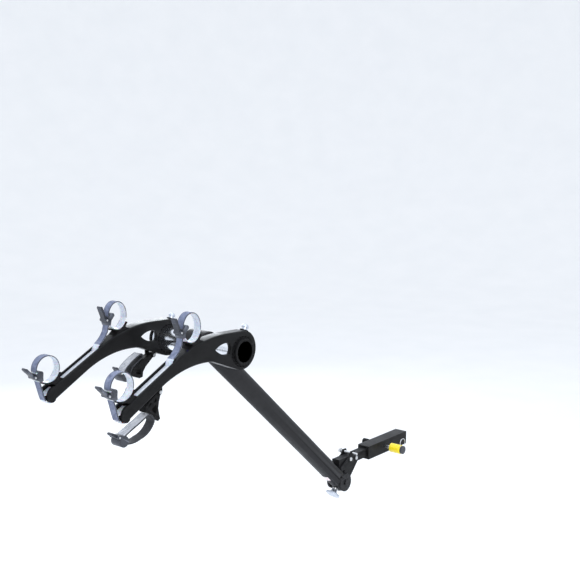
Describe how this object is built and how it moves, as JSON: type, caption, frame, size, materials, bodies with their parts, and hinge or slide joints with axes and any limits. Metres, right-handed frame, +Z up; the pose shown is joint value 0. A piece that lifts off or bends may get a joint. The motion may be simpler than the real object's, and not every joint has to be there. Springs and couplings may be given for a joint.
{
  "type": "hitch mounted bike rack",
  "caption": "Folding hanging bike rack for a towing hitch: tilting mast, cross tube, arched arms with strap cradles and anti-sway loops.",
  "frame": {"origin": "where the hitch pin's axis crosses the centreline of the shank", "axes": "+Y forward into the vehicle's receiver along the shank, +X to the vehicle's right, +Z up; the rack hangs out towards -Y with its mast tilted back"},
  "size_m": [0.3668, 1.6392, 0.8215],
  "materials": {
    "black_steel": "charcoal black powder coat, semi-gloss",
    "steel_hardware": "zinc plated, satin",
    "bare_steel": "machined steel",
    "black_nylon": "moulded black nylon, fine grain",
    "yellow_vinyl": "glossy yellow sleeve",
    "lock_cap": "dark grey moulded cap",
    "silver_tube": "bright polished aluminium",
    "sticker": "pale blank sticker",
    "knob_silver": "silver coloured knob",
    "arm_black": "semi-gloss black moulded arm",
    "strap_clear": "translucent pale grey ladder strap",
    "buckle_grey": "dark grey ratchet buckle"
  },
  "bodies": {
    "hitch": {"shank_bar": "black_steel", "receiver_adapter": "black_steel", "shank_end_cap": "black_nylon", "bracket_plate_left": "black_steel", "bracket_plate_right": "black_steel", "bracket_bolts": "steel_hardware", "bracket_nuts": "steel_hardware", "tilt_brake_disc": "bare_steel", "pivot_bolt": "black_steel", "pivot_nut": "black_steel", "pivot_bushings": "black_nylon", "hitch_pin": "steel_hardware", "lock_sleeve": "yellow_vinyl", "lock_end_cap": "lock_cap", "pin_keeper": "black_nylon", "pin_clip": "steel_hardware"},
    "mast": {"mast_tube": "black_steel", "mast_head": "black_steel", "cross_tube": "silver_tube", "spline_sleeves": "black_nylon", "retaining_rings": "black_nylon", "knob_boss": "steel_hardware", "blank_label": "sticker"},
    "tilt_knob": {"tilt_knob": "knob_silver", "brake_screw": "steel_hardware"},
    "latch_pin": {"latch_pin": "steel_hardware"},
    "arm_right": {"arm_beam_right": "arm_black", "clamp_washer_right": "black_nylon", "outer_cradle_right": "black_nylon", "inner_cradle_right": "black_nylon", "outer_strap_right": "strap_clear", "inner_strap_right": "strap_clear", "outer_buckle_right": "buckle_grey", "inner_buckle_right": "buckle_grey"},
    "clamp_knob_right": {"clamp_knob_right": "knob_silver"},
    "outer_lever_right": {"outer_lever_right": "buckle_grey"},
    "inner_lever_right": {"inner_lever_right": "buckle_grey"},
    "sway_right": {"sway_bracket_right": "black_nylon", "sway_strap_right": "strap_clear", "sway_buckle_right": "buckle_grey", "sway_pin_right": "steel_hardware"},
    "sway_lever_right": {"sway_lever_right": "buckle_grey"},
    "arm_left": {"arm_beam_left": "arm_black", "clamp_washer_left": "black_nylon", "outer_cradle_left": "black_nylon", "inner_cradle_left": "black_nylon", "outer_strap_left": "strap_clear", "inner_strap_left": "strap_clear", "outer_buckle_left": "buckle_grey", "inner_buckle_left": "buckle_grey"},
    "clamp_knob_left": {"clamp_knob_left": "knob_silver"},
    "outer_lever_left": {"outer_lever_left": "buckle_grey"},
    "inner_lever_left": {"inner_lever_left": "buckle_grey"},
    "sway_left": {"sway_bracket_left": "black_nylon", "sway_strap_left": "strap_clear", "sway_buckle_left": "buckle_grey", "sway_pin_left": "steel_hardware"},
    "sway_lever_left": {"sway_lever_left": "buckle_grey"}
  },
  "joints": [
    {"name": "mast_tilt", "type": "hinge", "parent": "hitch", "child": "mast", "pos_m": [0, -0.2693, -0.0711], "axis": [1, 0, 0], "range_deg": [-48, 0]},
    {"name": "tilt_knob_turn", "type": "hinge", "parent": "mast", "child": "tilt_knob", "pos_m": [0, -0.2976, -0.09944], "axis": [0, -0.6704, -0.742], "continuous": true},
    {"name": "latch_pin_slide", "type": "slide", "parent": "hitch", "child": "latch_pin", "axis": [-1, 0, 0], "range_m": [0, 0.07]},
    {"name": "arm_fold_right", "type": "hinge", "parent": "mast", "child": "arm_right", "pos_m": [0.1548, -0.979, 0.5545], "axis": [1, 0, 0], "range_deg": [0, 115]},
    {"name": "clamp_knob_turn_right", "type": "hinge", "parent": "arm_right", "child": "clamp_knob_right", "pos_m": [0.1548, -0.95094, 0.61202], "axis": [0, 0.4384, 0.8988], "continuous": true},
    {"name": "outer_lever_flip_right", "type": "hinge", "parent": "arm_right", "child": "outer_lever_right", "pos_m": [0.1548, -1.4615, 0.5175], "axis": [1, 0, 0], "range_deg": [0, 60]},
    {"name": "inner_lever_flip_right", "type": "hinge", "parent": "arm_right", "child": "inner_lever_right", "pos_m": [0.1548, -1.2135, 0.642], "axis": [1, 0, 0], "range_deg": [0, 60]},
    {"name": "sway_swing_right", "type": "hinge", "parent": "arm_right", "child": "sway_right", "pos_m": [0.1548, -1.297, 0.497], "axis": [1, 0, 0], "range_deg": [0, 75]},
    {"name": "sway_lever_flip_right", "type": "hinge", "parent": "sway_right", "child": "sway_lever_right", "pos_m": [0.1548, -1.436, 0.4065], "axis": [1, 0, 0], "range_deg": [0, 50]},
    {"name": "arm_fold_left", "type": "hinge", "parent": "mast", "child": "arm_left", "pos_m": [-0.1548, -0.979, 0.5545], "axis": [1, 0, 0], "range_deg": [0, 115]},
    {"name": "clamp_knob_turn_left", "type": "hinge", "parent": "arm_left", "child": "clamp_knob_left", "pos_m": [-0.1548, -0.95094, 0.61202], "axis": [0, 0.4384, 0.8988], "continuous": true},
    {"name": "outer_lever_flip_left", "type": "hinge", "parent": "arm_left", "child": "outer_lever_left", "pos_m": [-0.1548, -1.4615, 0.5175], "axis": [1, 0, 0], "range_deg": [0, 60]},
    {"name": "inner_lever_flip_left", "type": "hinge", "parent": "arm_left", "child": "inner_lever_left", "pos_m": [-0.1548, -1.2135, 0.642], "axis": [1, 0, 0], "range_deg": [0, 60]},
    {"name": "sway_swing_left", "type": "hinge", "parent": "arm_left", "child": "sway_left", "pos_m": [-0.1548, -1.04, 0.512], "axis": [1, 0, 0], "range_deg": [0, 75]},
    {"name": "sway_lever_flip_left", "type": "hinge", "parent": "sway_left", "child": "sway_lever_left", "pos_m": [-0.1548, -1.1665, 0.4765], "axis": [1, 0, 0], "range_deg": [0, 50]}
  ]
}
